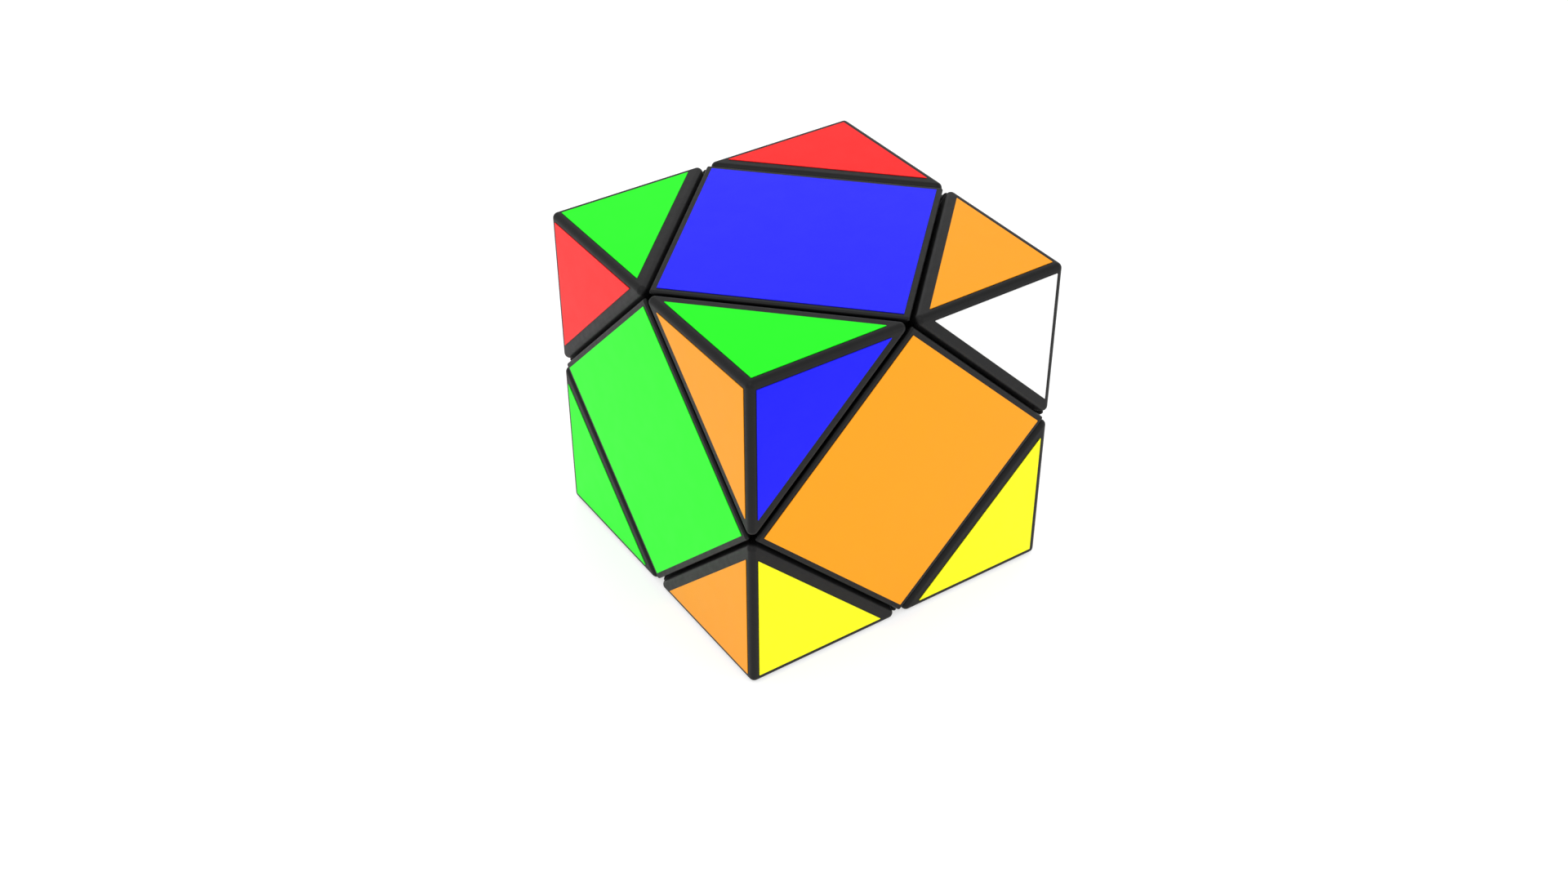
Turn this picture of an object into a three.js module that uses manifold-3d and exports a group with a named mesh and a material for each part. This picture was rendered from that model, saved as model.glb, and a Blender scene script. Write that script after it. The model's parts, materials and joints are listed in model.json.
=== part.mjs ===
/**
 * Corner-turning cube puzzle: fourteen outer pieces on a four-armed core.
 *
 * The cube turns about four axes, each through the cube's centre and one "core corner". The cut
 * across each axis is a surface of revolution about it, so the half beyond the cut can turn through
 * any angle. Deep inside, each cut steps through two spherical layers: feet reach under caps there,
 * so core corners hold the centres, centres hold the free corners, and four screws hold it all.
 *
 * Millimetres, +Z up, the cube stands on z = 0 with its centre over the origin. Front is -Y,
 * left is -X.
 */
import * as THREE from 'three';
import { mergeVertices } from 'three/addons/utils/BufferGeometryUtils.js';
import Module from 'manifold-3d';

const wasm = await Module();
wasm.setup();

// Outside of the cube
const cubeEdge = 55; // over the stickers
const stickerThickness = 0.15;
const stickerGap = 0.02; // adhesive film under each sticker
const stickerEdgeInset = 1.3; // from the cube's edges
const stickerCutInset = 1.6; // from the cuts between pieces
const cubeEdgeChamfer = 1;
const cutEdgeChamfer = 0.7;

// Interlock: polar angles from a turning axis, in degrees, and the radii of its two layers
const pieceGap = 0.3;
const footInner = 13.5; // the core's room ends here
const cutStart = 6; // each cut starts at this radius, inside the core's room
const footOuter = 17;
const capOuter = 20.5;
const footAngle = 96.5;
const capAngle = 81;

// Hollow mouldings
const wall = 1.8;
const centreBore = 4.5;
const freeCornerVent = 1.5;

// Core: a ball with one arm on each turning axis
const ballRadius = 7.5;
const armRadius = 3.6;
const armStart = 4; // inside the ball
const armEnd = 11.2;
const pilotRadius = 1.5;
const pilotStart = 4;

// Core corner: stem, bore and spring pocket on its axis, and the snap-on cap above them
const stemRadius = 2.6;
const stemStart = 11.5;
const stemEnd = 15.5; // inside the foot layer
const boreRadius = 1.6;
const pocketRadius = 3.3;
const pocketFloor = 18;
const capSeam = 26;
const capSeamGap = 0.2;
const bossRadius = 5.2;
const bossStart = 25; // inside the base
const bossTop = 29.5;
const socketGap = 0.3;
const socketWall = 1.3;
const socketCoreRadius = 4;
const socketCoreTop = 37;

// Tension screw and spring
const screwRadius = 1.25;
const screwTip = 5;
const screwPoint = 1.2;
const flangeRadius = 2.95;
const flangeThickness = 0.5;
const headRadius = 2.3;
const headHeight = 1.7;
const headRound = 0.5;
const headSeat = 22.5;
const recessWidth = 0.7;
const recessLength = 2.8;
const recessDepth = 1.1;
const springWire = 0.5;
const springRadius = 2.55;
const springTurns = 4.5;
const springClearance = 0.1;

// Facets
const turnSegments = 24;
const holeSegments = 12;
const ballSegments = 12;
const arcSteps = 2;
const springStepsPerTurn = 9;
const springSides = 5;

const half = cubeEdge / 2;
const plasticHalf = half - stickerThickness - stickerGap;
const farAway = 2 * cubeEdge;
const degrees = Math.PI / 180;

const xAxis = new THREE.Vector3(1, 0, 0);
const yAxis = new THREE.Vector3(0, 1, 0);
const zAxis = new THREE.Vector3(0, 0, 1);
const diagonal = new THREE.Vector3(1, 1, 1).normalize();

/** The four turning axes: the home core corner's own, then the same one turned about x, y and z. */
const turningAxes = [
  diagonal,
  new THREE.Vector3(1, -1, -1).normalize(),
  new THREE.Vector3(-1, 1, -1).normalize(),
  new THREE.Vector3(-1, -1, 1).normalize(),
];
const otherAxes = turningAxes.slice(1);

// ---------------------------------------------------------------- solids

function solidFrom(geometry) {
  const bare = geometry.clone();
  bare.deleteAttribute('normal');
  bare.deleteAttribute('uv');
  const merged = mergeVertices(bare);
  const corners = merged.index.array;
  const triangles = [];
  for (let i = 0; i < corners.length; i += 3) {
    const [a, b, c] = corners.slice(i, i + 3);
    if (a !== b && b !== c && c !== a) triangles.push(a, b, c);
  }
  return new wasm.Manifold(new wasm.Mesh({
    numProp: 3,
    vertProperties: new Float32Array(merged.attributes.position.array),
    triVerts: new Uint32Array(triangles),
  }));
}

function geometryFrom(solid) {
  const mesh = solid.getMesh();
  const geometry = new THREE.BufferGeometry();
  geometry.setAttribute('position', new THREE.BufferAttribute(mesh.vertProperties, 3));
  geometry.setIndex(new THREE.BufferAttribute(mesh.triVerts, 1));
  geometry.computeVertexNormals();
  return geometry;
}

/** Turns a geometry made about +Y so that its axis points along `direction`. */
function alongAxis(geometry, direction) {
  return geometry.applyQuaternion(new THREE.Quaternion().setFromUnitVectors(yAxis, direction));
}

/** Swings a solid made about +Y onto the home core corner's axis. */
function alongDiagonal(solid) {
  return solidFrom(alongAxis(geometryFrom(solid), diagonal));
}

/** A rod on the line through the cube's centre along `direction`, between two distances from it. */
function rod(radius, start, end, direction, segments = holeSegments) {
  const cylinder = new THREE.CylinderGeometry(radius, radius, end - start, segments);
  cylinder.translate(0, (start + end) / 2, 0);
  return solidFrom(alongAxis(cylinder, direction));
}

function ball(radius) {
  return solidFrom(new THREE.SphereGeometry(radius, ballSegments, ballSegments / 2));
}

/** All points whose distance along `normal` is less than `distance`, as one very large box. */
function halfSpace({ normal, distance }) {
  const box = new THREE.BoxGeometry(farAway, farAway, farAway);
  box.translate(0, distance - farAway / 2, 0);
  return solidFrom(alongAxis(box, normal));
}

function convexSolid(planes) {
  return planes.map(halfSpace).reduce((solid, next) => solid.intersect(next));
}

/** The plane that takes an equal strip, `width` wide, off both faces along the edge they share. */
function chamfer(first, second, width) {
  const cosine = first.normal.dot(second.normal);
  const normal = first.normal.clone().add(second.normal);
  const length = normal.length();
  const reach = first.distance + second.distance - width * Math.sqrt(1 - cosine * cosine);
  return { normal: normal.divideScalar(length), distance: reach / length };
}

// ---------------------------------------------------------------- the cuts

/** Where a ray at `angle` from the axis, moved sideways by `offset`, crosses a sphere. */
function onRay(radius, angle, offset) {
  const along = Math.sqrt(radius * radius - offset * offset);
  const sine = Math.sin(angle * degrees);
  const cosine = Math.cos(angle * degrees);
  return new THREE.Vector2(along * sine + offset * cosine, along * cosine - offset * sine);
}

/** Points on a sphere between two of its points in the profile plane, both ends included. */
function sphereArc(from, to) {
  const radius = from.length();
  const start = Math.atan2(from.x, from.y);
  const end = Math.atan2(to.x, to.y);
  return Array.from({ length: arcSteps + 1 }, (_, step) => {
    const angle = start + ((end - start) * step) / arcSteps;
    return new THREE.Vector2(radius * Math.sin(angle), radius * Math.cos(angle));
  });
}

/** Everything on the turning side of one axis's cut, grown by `offset` (shrunk if negative). */
function turningSide(axis, offset) {
  const foot = footOuter + offset;
  const cap = capOuter - offset;
  const profile = [
    new THREE.Vector2(0, 0),
    onRay(cutStart, footAngle, offset),
    ...sphereArc(onRay(foot, footAngle, offset), onRay(foot, capAngle, offset)),
    ...sphereArc(onRay(cap, capAngle, offset), onRay(cap, 90, offset)),
    new THREE.Vector2(farAway, -offset),
    new THREE.Vector2(farAway, farAway),
    new THREE.Vector2(0, farAway),
  ];
  return solidFrom(alongAxis(new THREE.LatheGeometry(profile, turnSegments), axis));
}

/** Cuts a block down to the piece that turns with some axes and stays put for some others. */
function cutPiece(block, turnsWith, staysFor) {
  const shared = turnsWith.reduce(
    (solid, axis) => solid.intersect(turningSide(axis, -pieceGap / 2)), block);
  const cut = staysFor.reduce(
    (solid, axis) => solid.subtract(turningSide(axis, pieceGap / 2)), shared);
  return cut.subtract(ball(footInner));
}

// ---------------------------------------------------------------- corners

/** Outside planes of the corner piece in the octant of `sign` * (1, 1, 1), moved in by `inset`. */
function cornerPlanes(sign, inset) {
  const faces = [xAxis, yAxis, zAxis].map((normal) => ({
    normal: normal.clone().multiplyScalar(sign),
    distance: plasticHalf - inset,
  }));
  const cuts = otherAxes.map((axis) => ({
    normal: axis.clone().multiplyScalar(sign),
    distance: -pieceGap / 2 - inset,
  }));
  return { faces, cuts };
}

function cornerBlock(sign) {
  const { faces, cuts } = cornerPlanes(sign, 0);
  const edges = faces.map((face, i) => chamfer(face, faces[(i + 1) % 3], cubeEdgeChamfer));
  const rims = faces.map((face, i) => chamfer(face, cuts[i], cutEdgeChamfer));
  return convexSolid([...faces, ...edges, ...rims]);
}

/** The hollow inside a corner's walls, down to `floor` along its diagonal. */
function cornerHollow(sign, floor) {
  const { faces, cuts } = cornerPlanes(sign, wall);
  const inward = { normal: diagonal.clone().multiplyScalar(-sign), distance: -floor };
  return convexSolid([...faces, ...cuts, inward]);
}

function coreCornerBase() {
  const below = halfSpace({ normal: diagonal, distance: capSeam - capSeamGap / 2 });
  return cutPiece(cornerBlock(1), [], otherAxes)
    .intersect(below)
    .add(rod(stemRadius, stemStart, stemEnd, diagonal))
    .add(rod(bossRadius, bossStart, bossTop, diagonal))
    .subtract(rod(boreRadius, 0, capSeam, diagonal))
    .subtract(rod(pocketRadius, pocketFloor, farAway, diagonal));
}

function cornerCap() {
  const bottom = capSeam + capSeamGap / 2;
  const above = halfSpace({ normal: diagonal.clone().negate(), distance: -bottom });
  const socketRadius = bossRadius + socketGap;
  const block = cutPiece(cornerBlock(1), [], otherAxes).intersect(above);
  const socket = rod(socketRadius + socketWall, bottom, farAway, diagonal).intersect(block);
  return block
    .subtract(cornerHollow(1, 0))
    .add(socket)
    .subtract(rod(socketRadius, 0, bossTop + socketGap, diagonal))
    .subtract(rod(socketCoreRadius, bossTop, socketCoreTop, diagonal));
}

function freeCorner() {
  const outward = diagonal.clone().negate();
  return cutPiece(cornerBlock(-1), otherAxes, [])
    .subtract(cornerHollow(-1, capOuter + wall))
    .subtract(rod(freeCornerVent, 0, half, outward));
}

// ---------------------------------------------------------------- centres

/** Outside planes of the top centre, moved in by `inset`. */
function centrePlanes(inset) {
  const face = { normal: zAxis, distance: plasticHalf - inset };
  const cuts = turningAxes.map((axis) => ({
    normal: axis.clone().multiplyScalar(axis.z > 0 ? -1 : 1),
    distance: -pieceGap / 2 - inset,
  }));
  return { face, cuts };
}

function centre() {
  const { face, cuts } = centrePlanes(0);
  const block = convexSolid([face, ...cuts.map((cut) => chamfer(face, cut, cutEdgeChamfer))]);
  const inner = centrePlanes(wall);
  const floor = { normal: zAxis.clone().negate(), distance: -capOuter - wall };
  const upper = turningAxes.filter((axis) => axis.z > 0);
  const lower = turningAxes.filter((axis) => axis.z < 0);
  return cutPiece(block, upper, lower)
    .subtract(convexSolid([inner.face, ...inner.cuts, floor]))
    .subtract(rod(centreBore, 0, capOuter + 2 * wall, zAxis));
}

// ---------------------------------------------------------------- core and hardware

function core() {
  const arms = turningAxes.map((axis) => rod(armRadius, armStart, armEnd, axis));
  const holes = turningAxes.map((axis) => rod(pilotRadius, pilotStart, farAway, axis));
  const solid = arms.reduce((joined, arm) => joined.add(arm), ball(ballRadius));
  return holes.reduce((joined, hole) => joined.subtract(hole), solid);
}

/** Tension screw on +Y: a point, a plain shank, a flanged pan head and a cross recess. */
function screw() {
  const headTop = headSeat + headHeight;
  const outline = [
    [0, screwTip],
    [screwRadius, screwTip + screwPoint],
    [screwRadius, headSeat],
    [flangeRadius, headSeat],
    [flangeRadius, headSeat + flangeThickness],
    [headRadius, headSeat + flangeThickness],
    [headRadius, headTop - headRound],
    [headRadius - headRound, headTop],
    [0, headTop],
  ].map(([radius, height]) => new THREE.Vector2(radius, height));
  const bar = new THREE.BoxGeometry(recessLength, recessDepth * 2, recessWidth);
  bar.translate(0, headTop, 0);
  return solidFrom(new THREE.LatheGeometry(outline, holeSegments))
    .subtract(solidFrom(bar))
    .subtract(solidFrom(bar.clone().rotateY(Math.PI / 2)));
}

/** Centre line of the spring's wire, wound about +Y. */
class SpringLine extends THREE.Curve {
  getPoint(share, target = new THREE.Vector3()) {
    const angle = share * springTurns * 2 * Math.PI;
    const start = pocketFloor + springClearance + springWire / 2;
    const end = headSeat - springClearance - springWire / 2;
    const height = start + (end - start) * share;
    return target.set(springRadius * Math.cos(angle), height, springRadius * Math.sin(angle));
  }
}

function spring() {
  const section = new THREE.Shape(new THREE.EllipseCurve(0, 0, springWire / 2, springWire / 2)
    .getPoints(springSides).slice(0, springSides));
  return solidFrom(new THREE.ExtrudeGeometry(section, {
    extrudePath: new SpringLine(),
    steps: Math.round(springTurns * springStepsPerTurn),
    bevelEnabled: false,
  }));
}

// ---------------------------------------------------------------- stickers

/** A flat sticker on the top face, from its outline seen from above. */
function sticker(outline) {
  const shape = new THREE.Shape(outline.map(([x, y]) => new THREE.Vector2(x, y)));
  const sheet = new THREE.ExtrudeGeometry(shape, { depth: stickerThickness, bevelEnabled: false });
  return sheet.translate(0, 0, half - stickerThickness);
}

function centreSticker() {
  const reach = half - stickerCutInset * Math.SQRT2;
  return sticker([[reach, 0], [0, reach], [-reach, 0], [0, -reach]]);
}

/** The sticker on the top face in the corner of +x and +y. */
function cornerSticker() {
  const outer = half - stickerEdgeInset;
  const inner = half + stickerCutInset * Math.SQRT2 - outer;
  return sticker([[outer, outer], [inner, outer], [outer, inner]]);
}

// ---------------------------------------------------------------- materials

const colours = {
  blue: 0x0b0bff,
  green: 0x10ff10,
  orange: 0xff6c08,
  red: 0xff0d0d,
  white: 0xfafafa,
  yellow: 0xffff0a,
};

const roughnesses = { plastic: 0.45, steel: 0.3, vinyl: 0.4 };

function moulded(color) {
  return new THREE.MeshStandardMaterial({ color, roughness: roughnesses.plastic });
}

function metal(color) {
  return new THREE.MeshStandardMaterial({ color, roughness: roughnesses.steel, metalness: 1 });
}

function vinyl(name) {
  return new THREE.MeshStandardMaterial({ color: colours[name], roughness: roughnesses.vinyl });
}

// ---------------------------------------------------------------- assembly

/** Sticker colours of the mixed puzzle, face by face for each corner. */
const cornerColours = {
  top_front_left: { top: 'green', front: 'blue', left: 'orange' },
  top_front_right: { top: 'orange', front: 'white', right: 'blue' },
  top_back_left: { top: 'green', back: 'blue', left: 'red' },
  top_back_right: { top: 'red', back: 'white', right: 'blue' },
  bottom_front_left: { bottom: 'green', front: 'yellow', left: 'orange' },
  bottom_front_right: { bottom: 'white', front: 'yellow', right: 'orange' },
  bottom_back_left: { bottom: 'yellow', back: 'red', left: 'green' },
  bottom_back_right: { bottom: 'yellow', back: 'red', right: 'white' },
};
const centreColours = {
  top: 'blue', bottom: 'yellow', front: 'orange', back: 'red', left: 'green', right: 'white',
};

const halfTurns = [
  new THREE.Quaternion(),
  new THREE.Quaternion().setFromAxisAngle(xAxis, Math.PI),
  new THREE.Quaternion().setFromAxisAngle(yAxis, Math.PI),
  new THREE.Quaternion().setFromAxisAngle(zAxis, Math.PI),
];
const thirdTurns = [0, 1, 2].map((count) => (
  new THREE.Quaternion().setFromAxisAngle(diagonal, (count * 2 * Math.PI) / 3)));

/** Words for where a face or corner is, from its direction in whole steps along x, y and z. */
function places(point) {
  const [side, depth, height] = point.toArray().map(Math.round);
  const words = [];
  if (height) words.push(height > 0 ? 'top' : 'bottom');
  if (depth) words.push(depth > 0 ? 'back' : 'front');
  if (side) words.push(side > 0 ? 'right' : 'left');
  return words;
}

function addMesh(group, name, geometry, material) {
  const mesh = new THREE.Mesh(geometry, material);
  mesh.name = name;
  group.add(mesh);
  return mesh;
}

/** Three stickers of one corner, found by turning the top one about the corner's diagonal. */
function addCornerStickers(group, sign) {
  const words = places(new THREE.Vector3(sign, sign, sign).applyQuaternion(group.quaternion));
  const geometry = cornerSticker();
  if (sign < 0) geometry.rotateY(Math.PI).rotateZ(Math.PI / 2);
  thirdTurns.forEach((turn) => {
    const outward = zAxis.clone().multiplyScalar(sign).applyQuaternion(turn);
    const [face] = places(outward.applyQuaternion(group.quaternion));
    const elsewhere = words.filter((word) => word !== face).join('_');
    const colour = cornerColours[words.join('_')][face];
    const mesh = addMesh(group, `sticker_${face}_at_${elsewhere}`, geometry, vinyl(colour));
    mesh.quaternion.copy(turn);
  });
}

function buildPuzzle() {
  const black = moulded(0x1c1c1c);
  const naturalWhite = moulded(0xcbcbc8);
  const steel = metal(0xb8bcc0);
  const puzzle = new THREE.Group();
  puzzle.position.z = half;
  addMesh(puzzle, 'core', geometryFrom(core()), naturalWhite);

  const parts = {
    tension_screw: [geometryFrom(alongDiagonal(screw())), steel],
    tension_spring: [geometryFrom(alongDiagonal(spring())), steel],
    core_corner: [geometryFrom(coreCornerBase()), black],
    corner_cap: [geometryFrom(cornerCap()), black],
  };
  const freeCornerShape = geometryFrom(freeCorner());
  halfTurns.forEach((turn) => {
    const held = new THREE.Group();
    held.quaternion.copy(turn);
    const heldPlace = places(new THREE.Vector3(1, 1, 1).applyQuaternion(turn)).join('_');
    Object.entries(parts).forEach(([name, [geometry, material]]) => {
      addMesh(held, `${name}_${heldPlace}`, geometry, material);
    });
    addCornerStickers(held, 1);

    const free = new THREE.Group();
    free.quaternion.copy(turn);
    const freePlace = places(new THREE.Vector3(-1, -1, -1).applyQuaternion(turn)).join('_');
    addMesh(free, `free_corner_${freePlace}`, freeCornerShape, black);
    addCornerStickers(free, -1);
    puzzle.add(held, free);
  });

  const centreShape = geometryFrom(centre());
  const centreStickerShape = centreSticker();
  thirdTurns.forEach((turn, index) => {
    [halfTurns[0], halfTurns[index === 0 ? 1 : 3]].forEach((flip) => {
      const group = new THREE.Group();
      group.quaternion.copy(flip).multiply(turn);
      const [face] = places(zAxis.clone().applyQuaternion(group.quaternion));
      addMesh(group, `centre_${face}`, centreShape, black);
      addMesh(group, `sticker_${face}_centre`, centreStickerShape, vinyl(centreColours[face]));
      puzzle.add(group);
    });
  });
  return puzzle;
}

export default buildPuzzle();
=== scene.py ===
"""Corner-turning cube puzzle: the finished mouldings, stickers, springs and screws, and the stage.

Each kind of piece is shaped once in its home place round the cube's centre: corners in the octant
of +X +Y +Z, centres on the top. It is then copied to every place that the frame gives. Metres, +Z
up, front is -Y and left is -X.
"""
import itertools
import json
import math

import bmesh
import bpy
from bpy.props import FloatProperty, FloatVectorProperty, PointerProperty
from mathutils import Matrix, Vector


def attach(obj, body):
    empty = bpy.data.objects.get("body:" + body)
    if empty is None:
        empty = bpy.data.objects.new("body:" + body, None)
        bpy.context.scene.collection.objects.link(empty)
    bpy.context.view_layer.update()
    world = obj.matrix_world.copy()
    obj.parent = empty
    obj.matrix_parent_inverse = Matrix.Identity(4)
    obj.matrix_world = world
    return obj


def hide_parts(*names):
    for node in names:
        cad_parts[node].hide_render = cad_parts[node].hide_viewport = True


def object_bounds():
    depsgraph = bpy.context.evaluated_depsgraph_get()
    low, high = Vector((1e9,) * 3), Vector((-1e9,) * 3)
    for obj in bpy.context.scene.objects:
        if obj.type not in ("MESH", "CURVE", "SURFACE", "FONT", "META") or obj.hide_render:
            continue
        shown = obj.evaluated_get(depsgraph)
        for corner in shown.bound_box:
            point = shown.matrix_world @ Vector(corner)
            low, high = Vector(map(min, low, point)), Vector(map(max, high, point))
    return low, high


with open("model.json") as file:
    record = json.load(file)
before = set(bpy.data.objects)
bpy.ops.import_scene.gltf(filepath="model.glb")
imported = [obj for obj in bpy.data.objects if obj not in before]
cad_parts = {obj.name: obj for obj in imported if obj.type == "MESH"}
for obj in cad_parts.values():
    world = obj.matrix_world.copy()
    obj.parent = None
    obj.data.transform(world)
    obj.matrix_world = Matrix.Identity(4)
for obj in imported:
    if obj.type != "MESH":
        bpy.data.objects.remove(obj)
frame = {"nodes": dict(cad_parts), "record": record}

bl_info = {
    "name": "Corner-Turning Cube",
    "version": (1, 0, 0),
    "blender": (4, 5, 0),
    "location": "3D View > Sidebar > Puzzle",
    "description": "Builds the mouldings, stickers and hardware of a corner-turning cube puzzle",
    "category": "Add Mesh",
}

MM = 0.001
CAD_LOW, CAD_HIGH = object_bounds()
CUBE_CENTRE = (CAD_LOW + CAD_HIGH) / 2
HALF_EDGE = (CAD_HIGH.z - CAD_LOW.z) / 2
SLOTS = {part["node"]: part["material_slot"] for part in frame["record"]["subparts"]}
BODIES = {
    node: body
    for body, nodes in frame["record"]["behaviour"]["bodies"].items()
    for node in nodes
}

X_AXIS = Vector((1, 0, 0))
Y_AXIS = Vector((0, 1, 0))
Z_AXIS = Vector((0, 0, 1))
DIRECTIONS = {
    "top": Z_AXIS, "bottom": -Z_AXIS, "front": -Y_AXIS,
    "back": Y_AXIS, "left": -X_AXIS, "right": X_AXIS,
}
DIAGONAL = Vector((1, 1, 1)).normalized()
OTHER_AXES = [Vector(signs).normalized() for signs in ((1, -1, -1), (-1, 1, -1), (-1, -1, 1))]
TURNING_AXES = [DIAGONAL, *OTHER_AXES]

# Interlock between pieces, as in the frame: a foot layer under a cap layer, both spherical
PIECE_GAP = 0.3 * MM
CUT_START = 6 * MM
FOOT_INNER = 13.5 * MM
FOOT_OUTER = 17 * MM
CAP_OUTER = 20.5 * MM
FOOT_ANGLE = math.radians(96.5)
CAP_ANGLE = math.radians(81)
STEP_ROUND = 0.45 * MM
KNUCKLE_TOP = 21.2 * MM
BLOCK_START = 20.8 * MM
WALL = 1.8 * MM
INNER_ROUND = 0.5 * MM

# Softened rims, and the chamfered mouths of bores
RIM_BEND = 0.3 * MM
MOUTH_CHAMFER = 0.4 * MM
MOUTH_OVERRUN = 0.1 * MM

# Core corner and its cap, by distance from the cube's centre
STEM_RADIUS = 2.6 * MM
STEM_START = 11.5 * MM
STEM_END = 15.5 * MM
BORE_RADIUS = 1.6 * MM
POCKET_RADIUS = 3.3 * MM
POCKET_FLOOR = 18 * MM
CAP_SEAM = 26 * MM
CAP_SEAM_GAP = 0.2 * MM
BOSS_RADIUS = 5.2 * MM
BOSS_START = 25 * MM
BOSS_TOP = 29.5 * MM
BEAD_HEIGHT = 28.2 * MM
BEAD_RISE = 0.18 * MM
BEAD_REACH = 3 * BEAD_RISE
SOCKET_GAP = 0.3 * MM
SOCKET_WALL = 1.3 * MM
SOCKET_CORE_RADIUS = 4 * MM
SOCKET_CORE_TOP = 37 * MM
SOCKET_CORE_BEND = 0.8 * MM
SOCKET_LEAD = 0.4 * MM
SOCKET_LEAD_START = 0.1 * MM
SOCKET_LEAD_END = 0.6 * MM
RIB_THICKNESS = 1.1 * MM
RIB_START = 29 * MM
RIB_ROUND = 0.2 * MM

# Hollow pieces
CENTRE_BORE = 4.5 * MM
VENT_RADIUS = 1.5 * MM

# Core
BALL_RADIUS = 7.5 * MM
ARM_RADIUS = 3.6 * MM
ARM_START = 4 * MM
ARM_FLARE_RADIUS = 4.6 * MM
ARM_FLARE_START = 5.9 * MM
ARM_FLARE_END = 7.8 * MM
ARM_FLARE_BEND = 0.9 * MM
ARM_END = 11.2 * MM
PILOT_RADIUS = 1.5 * MM

# Screw and spring
SCREW_RADIUS = 1.25 * MM
SCREW_TIP = 5 * MM
SCREW_POINT = 1.2 * MM
SCREW_POINT_RADIUS = 0.3 * MM
SHANK_BEND = 0.15 * MM
THREAD_DEPTH = 0.22 * MM
THREAD_PITCH = 0.8 * MM
THREAD_STEEPNESS = 3
THREAD_END = 16 * MM
THREAD_RINGS = 8
THREAD_SEGMENTS = 20
FLANGE_RADIUS = 2.95 * MM
FLANGE_THICKNESS = 0.5 * MM
FLANGE_LOWER_BEND = 0.12 * MM
FLANGE_UPPER_BEND = 0.15 * MM
FLANGE_TO_HEAD_BEND = 0.1 * MM
HEAD_RADIUS = 2.3 * MM
HEAD_HEIGHT = 1.7 * MM
HEAD_ROUND = 0.6 * MM
HEAD_SEAT = 22.5 * MM
RECESS_WIDTH = 0.7 * MM
RECESS_LENGTH = 2.8 * MM
RECESS_DEPTH = 1.1 * MM
RECESS_TAPER = 0.45
RECESS_ROUND = 0.08 * MM
SPRING_WIRE = 0.5 * MM
SPRING_RADIUS = 2.55 * MM
SPRING_TURNS = 4.5
SPRING_CLOSED_TURNS = 0.75
SPRING_CLEARANCE = 0.1 * MM
SPRING_GRIND = SPRING_WIRE / 5
SPRING_STEPS = 108
SPRING_SIDES = 10

# Smoothness
FAR = 4 * HALF_EDGE
LATHE_SEGMENTS = 96
HOLE_SEGMENTS = 48
ROUND_STEP = math.radians(15)
ARC_STEP = math.radians(3)
BEND_STEPS = 4
SMOOTH_ANGLE = math.radians(34)
FLAT_ANGLE = math.radians(0.2)
COINCIDENT = 1e-7
WELD = 1e-6

# Finishes
PLASTIC_SPECULAR = 0.17
PLASTIC_ROUGHNESS = (0.4, 0.46)
PLASTIC_GRAIN = 0.16 * MM
PLASTIC_GRAIN_DEPTH = 0.003 * MM
WORN_LIFT = 0.003
FILM_SPECULAR = 0.16
FILM_ROUGHNESS = (0.37, 0.4)
FILM_PEEL = 0.7 * MM
FILM_PEEL_DEPTH = 0.0015 * MM
HAIRLINE_ROUGHNESS = 0.02
STEEL_ROUGHNESS = {"screw_steel": 0.28, "spring_steel": 0.36}
STEEL_UNEVENNESS = 0.15
STEEL_GRAIN = 0.1 * MM
STEEL_GRAIN_DEPTH = 0.003 * MM

# Camera: angles about the cube's centre, distances in cube edges
CAMERA_AZIMUTH = math.radians(-123.99)
CAMERA_ELEVATION = math.radians(37.03)
CAMERA_DISTANCE = 5.387
CAMERA_AIM_RIGHT = -0.0489
CAMERA_AIM_UP = -0.1519
CAMERA_LENS = 43.345
CAMERA_NEAR = 0.01

# Floor and lights: distances from the cube's centre, in metres
FLOOR_GAP = 0.02 * MM
SOFTBOX_PLACE = Vector((-0.35, -0.25, 0.75))
SOFTBOX_SIZE = 0.7
FILL_PLACE = Vector((0.35, -0.75, 0.3))
FILL_SIZE = 0.6


# ------------------------------------------------------------------ sizes and colours

def length_property(name, description, default):
    return FloatProperty(
        name=name, description=description, default=default, min=0,
        precision=5, subtype="DISTANCE", unit="LENGTH",
    )


def colour_property(name, description, default):
    return FloatVectorProperty(
        name=name, description=description, default=default, min=0, max=1, size=3, subtype="COLOR",
    )


class PUZZLE_PG_sizes(bpy.types.PropertyGroup):
    """Rounding of the mouldings, and the size of the stickers."""

    corner_round: length_property("Corner rounding", "Edge radius of the eight corners", 0.9 * MM)
    centre_round: length_property("Centre rounding", "Edge radius of the six centres", 0.35 * MM)
    corner_draft: length_property("Corner set-back", "Corner's walls to the cut", 0.17 * MM)
    centre_draft: length_property("Centre set-back", "Centre's walls to the cut", 0.3 * MM)
    sticker_thickness: length_property("Sticker thickness", "Thickness of the film", 0.09 * MM)
    adhesive: length_property("Adhesive", "Film of air and glue under a sticker", 0.01 * MM)
    sticker_edge_inset: length_property("Edge inset", "Cube's edge to sticker", 1.345 * MM)
    sticker_cut_inset: length_property("Cut inset", "Cut between pieces to sticker", 1.675 * MM)
    sticker_corner_round: length_property("Sticker corners", "Radius seen from above", 0.06 * MM)
    sticker_edge_round: length_property("Sticker rim", "Bevel round the top", 0.025 * MM)


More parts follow.
